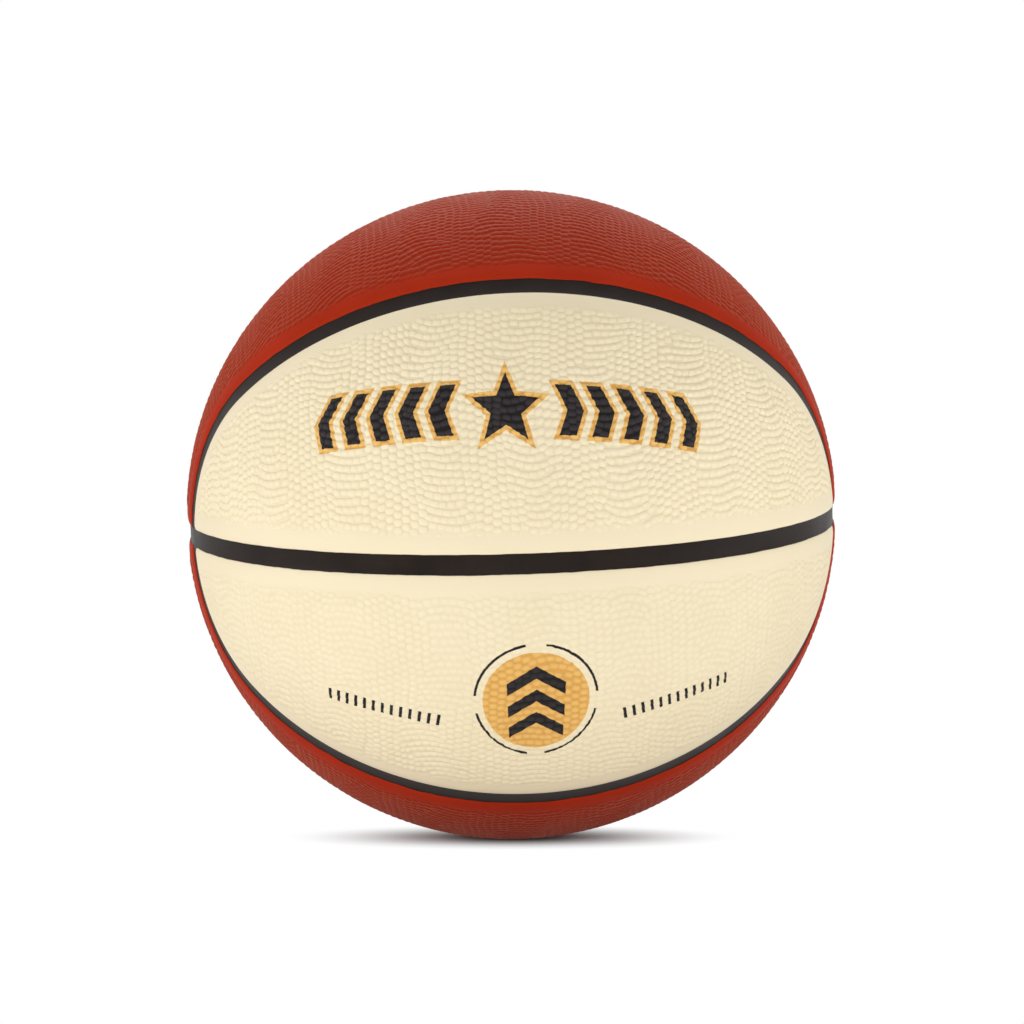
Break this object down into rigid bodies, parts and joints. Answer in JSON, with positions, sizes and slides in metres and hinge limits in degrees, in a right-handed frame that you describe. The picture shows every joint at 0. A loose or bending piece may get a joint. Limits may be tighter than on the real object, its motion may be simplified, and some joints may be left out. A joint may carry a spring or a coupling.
{
  "type": "basketball",
  "caption": "Rubber basketball with two-colour pebbled panels, sunken black channels round two ovals, and an inflation valve.",
  "frame": {"origin": "centre of the ball", "axes": "+X through one of the two places where the great-circle seams cross, -Y through the middle of the front oval, +Y through the middle of the back oval, +Z square to the seam that runs round the ball through both ovals"},
  "size_m": [0.2422, 0.2424, 0.2424],
  "materials": {
    "lens_front_upper": "moulded rubber with round grip pebbles, satin",
    "lens_front_lower": "moulded rubber with round grip pebbles, satin",
    "lens_back_upper": "moulded rubber with round grip pebbles, satin",
    "lens_back_lower": "moulded rubber with round grip pebbles, satin",
    "band_front_upper": "moulded rubber with round grip pebbles, satin",
    "band_front_lower": "moulded rubber with round grip pebbles, satin",
    "band_back_upper": "moulded rubber with round grip pebbles, satin",
    "band_back_lower": "moulded rubber with round grip pebbles, satin",
    "channel_equator": "smooth rubber, satin",
    "channel_meridian_upper": "smooth rubber, satin",
    "channel_meridian_lower": "smooth rubber, satin",
    "channel_front_upper": "smooth rubber, satin",
    "channel_front_lower": "smooth rubber, satin",
    "channel_back_upper": "smooth rubber, satin",
    "channel_back_lower": "smooth rubber, satin",
    "carcass": "matt backing rubber",
    "winding": "wound nylon thread",
    "bladder": "smooth butyl rubber",
    "valve_housing": "smooth rubber",
    "valve_plug": "smooth soft rubber"
  },
  "bodies": {
    "root": {"lens_front_upper": "lens_front_upper", "lens_front_lower": "lens_front_lower", "lens_back_upper": "lens_back_upper", "lens_back_lower": "lens_back_lower", "band_front_upper": "band_front_upper", "band_front_lower": "band_front_lower", "band_back_upper": "band_back_upper", "band_back_lower": "band_back_lower", "channel_equator": "channel_equator", "channel_meridian_upper": "channel_meridian_upper", "channel_meridian_lower": "channel_meridian_lower", "channel_front_upper": "channel_front_upper", "channel_front_lower": "channel_front_lower", "channel_back_upper": "channel_back_upper", "channel_back_lower": "channel_back_lower", "carcass": "carcass", "winding": "winding", "bladder": "bladder", "valve_housing": "valve_housing", "valve_plug": "valve_plug"}
  },
  "joints": []
}
